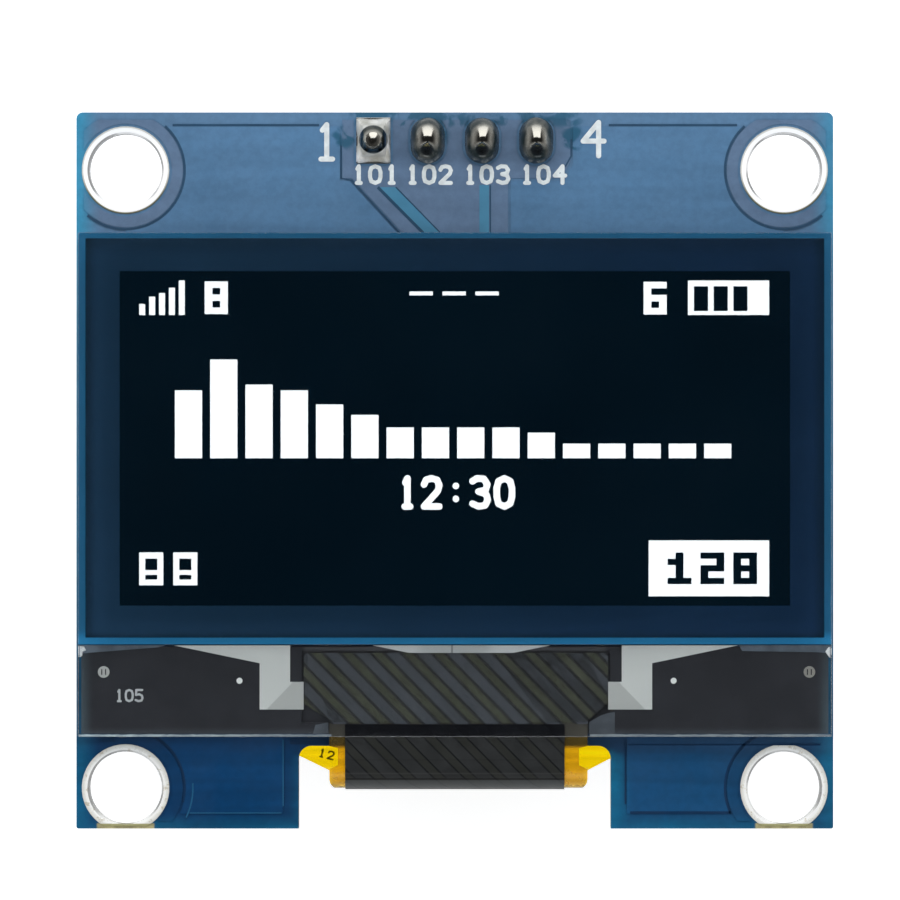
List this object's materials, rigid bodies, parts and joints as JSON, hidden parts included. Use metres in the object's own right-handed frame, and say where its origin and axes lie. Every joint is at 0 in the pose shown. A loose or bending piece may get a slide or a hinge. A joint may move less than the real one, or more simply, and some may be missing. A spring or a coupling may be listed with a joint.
{
  "type": "display module",
  "caption": "Small monochrome display module: glass panel on a blue circuit board with corner mounting holes, a flex folded through a notch and a pin header at the back.",
  "frame": {"origin": "centre of the four mounting holes, on the rear face of the circuit board", "axes": "+X along the board to the right and +Y towards the pin header, seen from the display side; +Z out of the display"},
  "size_m": [0.0354, 0.0334, 0.0115],
  "materials": {
    "blue_laminate": "glossy blue solder mask over fibreglass",
    "masked_copper": "blue solder mask over copper",
    "tinned_ring": "bright tinned copper",
    "tinned_pad": "tinned copper",
    "foam": "dark closed-cell foam",
    "clear_glass": "clear polished glass",
    "seal_resin": "cured resin bead",
    "white_sheet": "plain white sheet",
    "emitter_black": "near black",
    "lit_white": "lit white picture elements",
    "polariser_film": "smoked dark blue film",
    "electrode_silver": "satin thin metal",
    "silicon": "polished dark grey",
    "black_tape": "charcoal tape",
    "amber_film": "amber polyimide film",
    "shield_grey": "grey-blue printed metal",
    "clear_adhesive": "clear bonded film",
    "black_coverlay": "satin black film",
    "copper": "bare copper",
    "solder": "bright solder",
    "black_plastic": "moulded black plastic",
    "pin_metal": "gold-flashed brass",
    "capacitor_ceramic": "tan fired ceramic",
    "resistor_coat": "black glassy coat",
    "moulded_black": "moulded black epoxy"
  },
  "bodies": {
    "root": {"alignment_marks": "electrode_silver", "bond_adhesive": "clear_adhesive", "cap_glass": "clear_glass", "capacitor_1": "capacitor_ceramic", "capacitor_2": "capacitor_ceramic", "capacitor_3": "capacitor_ceramic", "capacitor_4": "capacitor_ceramic", "capacitor_5": "capacitor_ceramic", "capacitor_6": "capacitor_ceramic", "capacitor_7": "capacitor_ceramic", "capacitor_8": "capacitor_ceramic", "capacitor_9": "capacitor_ceramic", "chip_end_caps": "tinned_pad", "chip_pads": "tinned_pad", "chip_solder": "solder", "circuit_board": "blue_laminate", "desiccant_sheet": "white_sheet", "diode_body": "moulded_black", "driver_chip": "silicon", "edge_seal": "seal_resin", "electrode_left": "electrode_silver", "electrode_middle": "electrode_silver", "electrode_right": "electrode_silver", "emitter_layer": "emitter_black", "finger_solder": "solder", "flex_coverlay": "black_coverlay", "flex_film": "amber_film", "flex_fingers": "copper", "flex_pads": "tinned_pad", "front_copper_fill": "masked_copper", "front_copper_ground": "masked_copper", "header_housing": "black_plastic", "header_pads": "tinned_pad", "header_pin_1": "pin_metal", "header_pin_2": "pin_metal", "header_pin_3": "pin_metal", "header_pin_4": "pin_metal", "ledge_tape": "black_tape", "lit_pixels": "lit_white", "moulded_part_leads": "tinned_pad", "mounting_hole_plating": "tinned_ring", "mounting_tape": "foam", "polariser": "polariser_film", "regulator_body": "moulded_black", "resistor_1": "resistor_coat", "resistor_2": "resistor_coat", "resistor_3": "resistor_coat", "resistor_4": "resistor_coat", "resistor_5": "resistor_coat", "resistor_6": "resistor_coat", "resistor_7": "resistor_coat", "resistor_8": "resistor_coat", "shield_hatch": "shield_grey", "solder_joint_1": "solder", "solder_joint_2": "solder", "solder_joint_3": "solder", "solder_joint_4": "solder", "substrate_glass": "clear_glass"}
  },
  "joints": []
}
